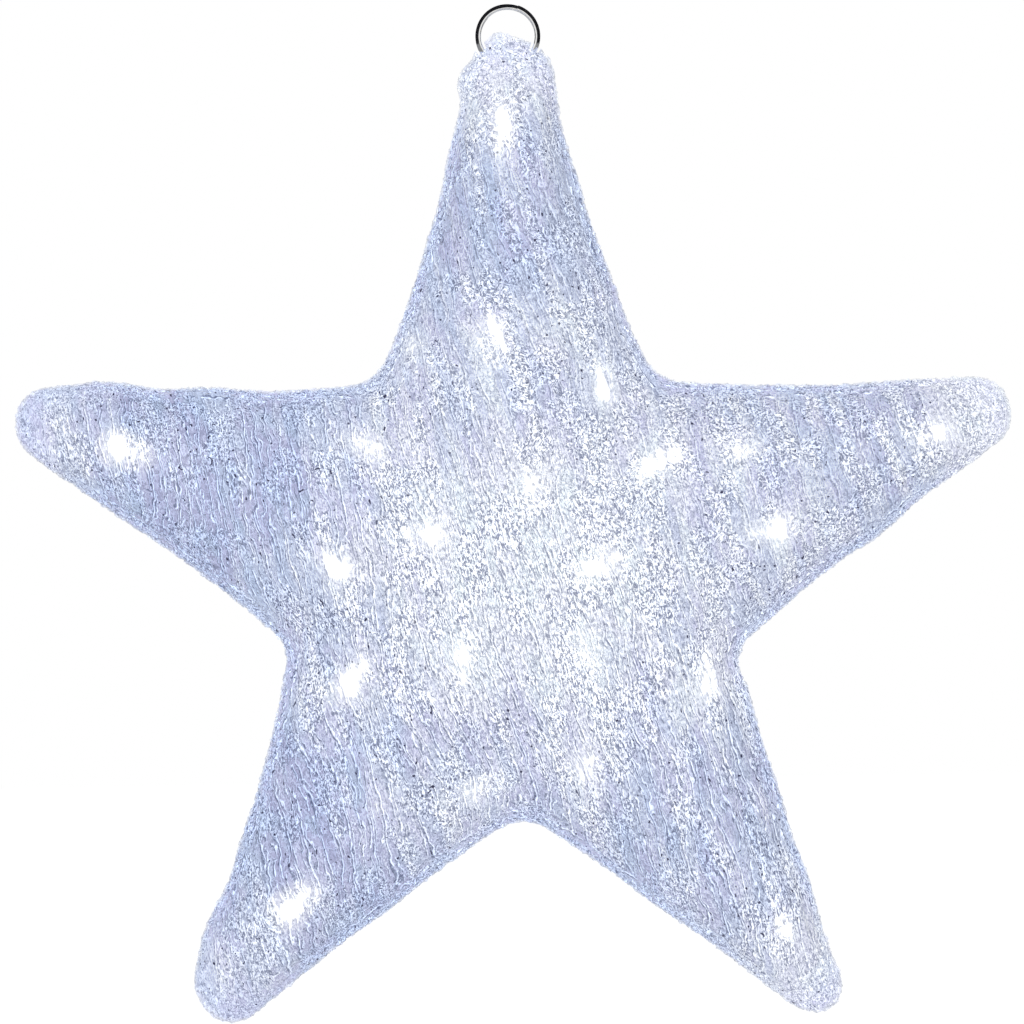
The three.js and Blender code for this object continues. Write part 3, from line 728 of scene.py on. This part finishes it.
def makeIce(values):
    finish, tree = newFinish("ice_strands")
    layer = {title: node(tree, "ShaderNodeAttribute", attribute_name=title).outputs["Fac"]
             for title in ("strand", "glow", "near", "lit")}
    lean = strandLay["lean"]
    lines, amounts = values["lines"], values["amounts"]
    place = node(tree, "ShaderNodeTexCoord").outputs["Object"]
    where = node(tree, "ShaderNodeSeparateXYZ", {0: place}).outputs

    def grainNode(title, turn=lean):
        size, detail, shift = values["grains"][title]
        return noiseAt(tree, placed(tree, size, turn, shift), detail=detail)

    def grain(title, turn=lean):
        return grainNode(title, turn).outputs["Fac"]

    def eased(title, value):
        return ramp(tree, value, *values["ramps"][title])

    def scaled(value, gain, base):
        # The value times its gain, plus the base
        return maths(tree, "MULTIPLY_ADD", value, gain, base)

    def strongest(*parts):
        value = parts[0]
        for part in parts[1:]:
            value = maths(tree, "MAXIMUM", value, part)
        return value

    depth = maths(tree, "ABSOLUTE", where["Y"])
    face = eased("face", depth)
    rim = maths(tree, "SUBTRACT", 1.0, face)

    # Tone: a slow cloud, and each strand its own
    hue = eased("hue", grain("hue"))
    sway = grain("sway")
    strand = maths(tree, "ADD", layer["strand"], scaled(sway, *amounts["sway"]))
    along = node(tree, "ShaderNodeSeparateXYZ",
                 {0: placed(tree, (1, 1, values["toneLength"]), lean)}).outputs["Z"]

    def strandTone(phase, row):
        spot = node(tree, "ShaderNodeCombineXYZ", {
            "X": mixed(tree, maths(tree, "FLOOR", phase), amounts["strandStep"]),
            "Y": row, "Z": along,
        }).outputs[0]
        return eased("tone", noiseAt(tree, spot, detail=1).outputs["Fac"])

    halfStrand = scaled(strand, *amounts["halfStrand"])
    tone = scaled(strandTone(halfStrand, values["halfRow"]), amounts["halfTone"],
                  mixed(tree, strandTone(strand, values["strandRow"]), amounts["strandTone"]))
    lift = maths(tree, "ADD", scaled(grain("cloud"), *amounts["cloud"]),
                 mixed(tree, tone, face, amounts["toneLift"]))
    # Painted light: the lit layer, with the cloud and strand tone, makes the shell paler
    litPaleness = eased("litPaleness", maths(tree, "ADD", layer["lit"], lift))
    near = eased("near", layer["near"])
    colour = tint(tree, hue, values["lavender"], values["paleBlue"])
    colour = tint(tree, mixed(tree, rim, amounts["rimHaze"]), colour, values["rimHaze"])
    # The painted light and tone: the lower half leads to the haze, the upper half on to the veil
    colour = tint(tree, maths(tree, "MULTIPLY", litPaleness, 2.0, clamp=True), colour,
                  values["haze"])
    colour = tint(tree, maths(tree, "MULTIPLY_ADD", litPaleness, 2.0, -1.0, clamp=True), colour,
                  values["veil"])
    cast = tint(tree, hue, values["warmCast"], values["coolCast"])
    colour = tint(tree, 1.0, colour, cast, "MULTIPLY")
    # Painted lamp glow: whiter near the lamps
    colour = tint(tree, mixed(tree, near, amounts["near"]), colour, values["white"])
    pale = strongest(litPaleness, near)
    # Colours of the painted shade and the painted highlights, paler where the shell is paler
    shadeColour = tint(tree, pale, values["dark"], values["veilDark"])
    highlightColour = tint(tree, eased("highlightColour", pale), values["shine"], values["white"])
    quiet = scaled(near, *amounts["quiet"])

    # Busy zones hold the curls and bubbles, calm ones show the bare strands
    patch = grain("patch")
    busy = eased("busy", scaled(rim, amounts["busyRim"], patch))
    busy = scaled(busy, amounts["busy"], scaled(litPaleness, *amounts["busyVeil"]))
    # The strands are plainest low on the star, the crossing ticks up and to the right
    crossing = ramp(tree, scaled(where["X"], amounts["crossingSlope"], where["Z"]),
                    starCentre.z, starCentre.z + amounts["crossingReach"])
    # The marks grow fainter towards the five tips
    fromCentre = node(tree, "ShaderNodeVectorMath", {0: place, 1: starCentre},
                      operation="DISTANCE").outputs["Value"]
    fading = eased("fading", fromCentre)
    busy = mixed(tree, busy, fading)
    plain = mixed(tree, scaled(crossing, *amounts["plain"]), fading)

    def paired(colour, field, title, amount):
        # A painted shade line and beside it a painted highlight, along one contour of the field
        at, width = lines[title]
        darkLine = band(tree, field, *(at + edge * width for edge in values["darkEdges"]))
        whiteLine = band(tree, field, *(at + edge * width for edge in values["whiteEdges"]))
        shine = mixed(tree, whiteLine, amount)
        colour = tint(tree, mixed(tree, darkLine, amount, quiet), colour, shadeColour)
        return tint(tree, shine, colour, highlightColour), shine

    gap = grain("gap")
    colour, lineShine = paired(colour, maths(tree, "FRACT", strand), "strand",
                               mixed(tree, eased("strandGap", gap), face, plain))
    within = maths(tree, "FRACT", scaled(sway, amounts["halfSway"], halfStrand))
    colour, thinShine = paired(
        colour, within, "halfStrand",
        mixed(tree, eased("halfGap", gap), face, plain, amounts["halfLine"]))

    curls, broken = grain("curls"), grain("broken")
    loose = strongest(busy, amounts["loose"])
    colour, curlShine = paired(colour, curls, "curls",
                               mixed(tree, eased("curlGap", broken), loose))
    colour, loopShine = paired(colour, grain("loops", -lean), "loops",
                               mixed(tree, eased("loopGap", broken), loose))
    # Along the seam the strands run with the outline
    wander = scaled(patch, amounts["rimPatch"], mixed(tree, sway, amounts["rimSway"]))
    rimStrand = maths(tree, "FRACT", scaled(depth, amounts["rimPitch"], wander))
    colour, rimShine = paired(
        colour, rimStrand, "rim",
        mixed(tree, eased("rimGap", broken), eased("rimDepth", depth),
              eased("rimTips", fromCentre)))
    bubbles = node(tree, "ShaderNodeTexVoronoi", {
        "Vector": placed(tree, values["bubbles"], lean, values["bubbleShift"]), "Scale": 1,
    })
    chosen = node(tree, "ShaderNodeSeparateColor", {0: bubbles.outputs["Color"]}).outputs[0]
    colour, bubbleShine = paired(
        colour, bubbles.outputs["Distance"], "bubbles",
        mixed(tree, eased("bubble", chosen), busy, amounts["bubbleLine"]))

    # Fine cells with broken outlines, then ticks along three ways, each in its own patches
    drift = node(tree, "ShaderNodeVectorMath", {
        0: grainNode("drift").outputs["Color"], 1: placed(tree, values["cells"], lean),
    }, operation="ADD")
    edge = node(tree, "ShaderNodeTexVoronoi", {"Vector": drift.outputs[0], "Scale": 1},
                feature="DISTANCE_TO_EDGE").outputs["Distance"]
    crumb = grain("crumb")
    many = scaled(busy, amounts["many"], mixed(tree, litPaleness, amounts["manyVeil"]))
    many = scaled(rim, amounts["manyRim"], many)
    many = mixed(tree, maths(tree, "MINIMUM", many, 1.0), fading)
    # Painted shade along the cell outlines and the ticks, painted highlights beside them
    shade = mixed(tree, eased("cellShade", edge), eased("crumbShade", crumb), many, quiet)
    colour = tint(tree, shade, colour, shadeColour)
    tickShine = mixed(tree, eased("cellShine", edge), eased("crumbShine", crumb), many,
                      amounts["cellShine"])
    colour = tint(tree, tickShine, colour, highlightColour)
    ways = [(lean, mixed(tree, many, scaled(crossing, *amounts["alongTicks"])))]
    for turn, patches in values["crossTurns"]:
        ways.append((lean + turn, mixed(tree, ramp(tree, broken, *patches), many,
                                        scaled(crossing, *amounts["crossTicks"]))))
    for turn, here in ways:
        ticks = grain("ticks", turn)
        colour = tint(tree, mixed(tree, eased("tickShade", ticks), here, quiet), colour, shadeColour)
        shine = mixed(tree, eased("tickShine", ticks), here)
        colour = tint(tree, shine, colour, highlightColour)
        tickShine = strongest(tickShine, shine)
    # Near-black specks of painted shade, fewer where the shell is paler or near the lamps
    speck = mixed(tree, eased("speck", grain("speck")), quiet, eased("speckVeil", litPaleness))
    colour = tint(tree, speck, colour, values["speck"])

    # Painted sheen: the skin is painted a little paler along the seam
    fringe = mixed(tree, eased("seam", depth), amounts["fringe"])
    colour = tint(tree, fringe, colour, values["fringe"])

    # The painted glow of the lamps, broken up by the strands in front of them
    toneGain, glowBase = amounts["lampTone"]
    ragged = scaled(tone, toneGain, maths(tree, "ADD", layer["glow"], glowBase))
    ragged = maths(tree, "ADD", ragged, scaled(curls, *amounts["lampCurls"]))
    lampCore = eased("lamp", ragged)
    colour = tint(tree, lampCore, colour, values["lampWhite"])
    whites = strongest(lineShine, thinShine, curlShine, loopShine, rimShine, bubbleShine,
                       tickShine)
    # Painted light: the shell glows of itself, more at its highlights, its rim and its lamps
    power = scaled(whites, *amounts["light"])
    power = scaled(rim, amounts["rimLight"], power)
    power = scaled(lampCore, amounts["lampLight"], power)

    bump = node(tree, "ShaderNodeBump", {
        "Strength": values["bump"], "Distance": values["bumpHeight"], "Height": whites,
    })
    body = node(tree, "ShaderNodeBsdfPrincipled", {
        "Base Color": colour, "Roughness": eased("gloss", curls),
        "Emission Color": colour, "Emission Strength": power, "Normal": bump.outputs[0],
        "IOR": values["ior"], "Sheen Weight": values["sheen"],
        "Sheen Roughness": values["sheenRoughness"], "Sheen Tint": (1, 1, 1, 1),
    })
    node(tree, "ShaderNodeOutputMaterial", {"Surface": body.outputs[0]})
    return finish


iceFinish = makeIce(icePattern)
frontIce = iceHalf("front_ice_shell", -1, iceFinish)
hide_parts("front_shell")
rearIce = iceHalf("rear_ice_shell", 1, iceFinish)
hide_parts("rear_shell")
bpy.data.objects.remove(wholeSkin)
for piece in (frontIce, rearIce):
    piece.data.calc_loop_triangles()
    print(piece.name, len(piece.data.loop_triangles), "triangles")


# Seam band inside the joint, open at the top where the ring swings
seamBand = {"inset": 0.0028, "thick": 0.0012, "halfWide": 0.004, "rows": 6, "openZ": -0.0231,
            "creaseAngle": 40}


def makeSeamBand(values):
    depth = iceStar["halfDepth"] - values["inset"]
    deeps = [values["halfWide"] * (2 * i / values["rows"] - 1) for i in range(values["rows"] + 1)]
    rows = [(y, swellShare(y, depth)) for y in deeps]
    piece = outlineRows("seam_band", starOutline(iceStar, values["inset"]), rows)
    bpy.ops.mesh.select_all(action="SELECT")
    bpy.ops.mesh.normals_make_consistent(inside=False)
    bpy.ops.object.mode_set(mode="OBJECT")
    piece.location = starCentre
    applyPlace(piece)
    shapedByHand(piece)
    applied(piece, "SOLIDIFY", thickness=values["thick"], offset=-1)
    bpy.ops.object.mode_set(mode="EDIT")
    bpy.ops.mesh.select_all(action="SELECT")
    bpy.ops.mesh.bisect(plane_co=(0, 0, values["openZ"]), plane_no=(0, 0, -1),
                        clear_inner=True, use_fill=True)
    bpy.ops.mesh.select_all(action="SELECT")
    bpy.ops.mesh.normals_make_consistent(inside=False)
    bpy.ops.object.mode_set(mode="OBJECT")
    bpy.ops.object.shade_smooth_by_angle(angle=math.radians(values["creaseAngle"]))
    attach(piece, "star")
    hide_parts("seam_strip")
    return piece


# A finer copy of a CAD node: its triangles merged, then rounded by subdivision
stringRounding = {"levels": 1, "swell": 0.00012, "merge": 0.00002, "mergeAngle": 60}


def roundedCopy(name, source, values):
    piece = nodes[source].copy()
    piece.data = nodes[source].data.copy()
    piece.name = name
    piece.parent = None
    for key in list(piece.keys()):
        del piece[key]
    bpy.context.collection.objects.link(piece)
    onlyThis(piece)
    bpy.ops.object.mode_set(mode="EDIT")
    bpy.ops.mesh.select_all(action="SELECT")
    bpy.ops.mesh.remove_doubles(threshold=values["merge"])
    angle = math.radians(values["mergeAngle"])
    bpy.ops.mesh.tris_convert_to_quads(face_threshold=angle, shape_threshold=angle)
    bpy.ops.transform.shrink_fatten(value=values["swell"])
    bpy.ops.object.mode_set(mode="OBJECT")
    applied(piece, "SUBSURF", levels=values["levels"], render_levels=values["levels"])
    bpy.ops.object.shade_smooth()
    piece.data.materials.clear()
    return piece


nickel = {
    "light": (0.74, 0.745, 0.76, 1), "warm": (0.83, 0.825, 0.80, 1),
    "rub": (0.0016, 0.0016, 0.0016), "hair": (0.00015, 0.0016, 0.0016),
    "rubRamp": (0.35, 0.65), "gloss": (0.3, 0.7, 0.06, 0.15),
    "bump": 0.05, "bumpHeight": 0.0001,
}


def makeMetal(values):
    finish, tree = newFinish("polished_nickel")
    rub = noiseAt(tree, placed(tree, values["rub"]), detail=3).outputs["Fac"]
    hair = noiseAt(tree, placed(tree, values["hair"]), detail=2).outputs["Fac"]
    colour = tint(tree, ramp(tree, rub, *values["rubRamp"]), values["light"], values["warm"])
    bump = node(tree, "ShaderNodeBump", {
        "Strength": values["bump"], "Distance": values["bumpHeight"], "Height": hair,
    })
    body = node(tree, "ShaderNodeBsdfPrincipled", {
        "Base Color": colour, "Metallic": 1, "Normal": bump.outputs[0],
        "Roughness": ramp(tree, rub, *values["gloss"]),
    })
    node(tree, "ShaderNodeOutputMaterial", {"Surface": body.outputs[0]})
    return finish


# Moulded plastic: a soft mottle in the colour, fine grain in the roughness and the surface
# Painted glow: the seam band, cable and sleeves give light of their own; the lens is the lamp
plastics = {
    "seam_acrylic": {"light": (0.46, 0.50, 0.76, 1), "dark": (0.36, 0.40, 0.66, 1),
                     "mottle": 0.008, "rough": 0.25, "emission": 0.2, "clear": 0.0},
    "clear_cable": {"light": (0.66, 0.70, 0.82, 1), "dark": (0.56, 0.62, 0.78, 1),
                    "mottle": 0.004, "rough": 0.25, "emission": 0.1, "clear": 0.3},
    "clear_sleeve": {"light": (0.74, 0.80, 0.92, 1), "dark": (0.62, 0.70, 0.86, 1),
                     "mottle": 0.003, "rough": 0.2, "emission": 0.15, "clear": 0.5},
    "lit_lens": {"light": (0.96, 0.98, 1, 1), "dark": (0.88, 0.93, 1, 1),
                 "mottle": 0.002, "rough": 0.12, "emission": 2.4, "clear": 0.0},
    "gland_plastic": {"light": (0.80, 0.83, 0.90, 1), "dark": (0.72, 0.76, 0.85, 1),
                      "mottle": 0.003, "rough": 0.3, "emission": 0.0, "clear": 0.0},
}
plasticGrain = {"finer": 9, "mottleRamp": (0.35, 0.65), "glossRamp": (0.3, 0.7),
                "roughSpread": 0.15, "bump": 0.25, "bumpHeight": 0.0002}


def makePlastic(name):
    values = plastics[name]
    finish, tree = newFinish(name)
    size, rough = values["mottle"], values["rough"]
    mottle = noiseAt(tree, placed(tree, (size,) * 3), detail=3).outputs["Fac"]
    fine = noiseAt(tree, placed(tree, (size / plasticGrain["finer"],) * 3),
                   detail=2).outputs["Fac"]
    colour = tint(tree, ramp(tree, mottle, *plasticGrain["mottleRamp"]), values["light"],
                  values["dark"])
    bump = node(tree, "ShaderNodeBump", {
        "Strength": plasticGrain["bump"], "Distance": plasticGrain["bumpHeight"],
        "Height": fine,
    })
    body = node(tree, "ShaderNodeBsdfPrincipled", {
        "Base Color": colour,
        "Roughness": ramp(tree, fine, *plasticGrain["glossRamp"], rough,
                          rough + plasticGrain["roughSpread"]),
        "Normal": bump.outputs[0], "Emission Color": colour,
        "Emission Strength": values["emission"], "Transmission Weight": values["clear"],
    })
    node(tree, "ShaderNodeOutputMaterial", {"Surface": body.outputs[0]})
    return finish


seamPiece = makeSeamBand(seamBand)
seamPiece.data.materials.clear()
seamPiece.data.materials.append(makePlastic("seam_acrylic"))
print("seam ready")

# Split ring: a wire thickest near its inner side, turned almost twice, stepping to the back
ringWire = {
    "profile": [
        (0.01030, 0), (0.01033, 0.00018), (0.01041, 0.00036), (0.01052, 0.00051),
        (0.01066, 0.00061), (0.01082, 0.00065), (0.01104, 0.00065), (0.01124, 0.00060),
        (0.01145, 0.000505), (0.01170, 0.000385), (0.01195, 0.000265), (0.01220, 0.00015),
        (0.01240, 0.00006), (0.01250, 0),
    ],
    "centreZ": -0.0103, "start": 20, "turn": 652.5, "steps": 174,
    "stepFrom": 320, "stepTo": 372, "pitch": 0.00175, "creaseAngle": 50,
}


def makeSplitRing(values):
    profile = values["profile"]
    loop = [(far, -half) for far, half in profile]
    loop += [(far, half) for far, half in profile[-2:0:-1]]
    bpy.ops.object.select_all(action="DESELECT")
    bpy.ops.mesh.primitive_circle_add(vertices=len(loop), radius=profile[-1][0])
    piece = bpy.context.object
    piece.name = "split_ring"
    start = math.radians(values["start"])
    for vertex, (far, y) in zip(piece.data.vertices, loop):
        vertex.co = (far * math.sin(start), y, far * math.cos(start))
    applied(piece, "SCREW", axis="Y", angle=math.radians(values["turn"]), screw_offset=0,
            steps=values["steps"], render_steps=values["steps"])
    places = placesOf(piece)
    turned = values["start"] + values["turn"] * (
        numpy.arange(len(places)) // len(loop)) / values["steps"]
    jog = smoothstep(turned, values["stepFrom"], values["stepTo"])
    places[:, 1] += (jog - 0.5) * values["pitch"]
    piece.data.vertices.foreach_set("co", places.ravel())
    piece.data.update()
    bpy.ops.object.mode_set(mode="EDIT")
    bpy.ops.mesh.select_all(action="SELECT")
    bpy.ops.mesh.fill_holes(sides=0)
    bpy.ops.mesh.select_all(action="SELECT")
    bpy.ops.mesh.normals_make_consistent(inside=False)
    bpy.ops.object.mode_set(mode="OBJECT")
    piece.location = (0, 0, values["centreZ"])
    applyPlace(piece)
    bpy.ops.object.shade_smooth_by_angle(angle=math.radians(values["creaseAngle"]))
    return piece


splitRing = makeSplitRing(ringWire)
splitRing.data.materials.clear()
splitRing.data.materials.append(makeMetal(nickel))
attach(splitRing, "ring")
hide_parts("hanging_ring")

stringWire = roundedCopy("string_wire", "string_cable", stringRounding)
stringWire.data.materials.append(makePlastic("clear_cable"))
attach(stringWire, "star")
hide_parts("string_cable")

sleevePlastic, lampLens = makePlastic("clear_sleeve"), makePlastic("lit_lens")
glandPlastic = makePlastic("gland_plastic")
for i in lampNumbers:
    nodes[f"led_sleeve_{i:02d}"].data.materials[0] = sleevePlastic
    nodes[f"led_bulb_{i:02d}"].data.materials[0] = lampLens
for name in ("cable_gland", "gland_nut"):
    nodes[name].data.materials[0] = glandPlastic
print("small pieces ready")
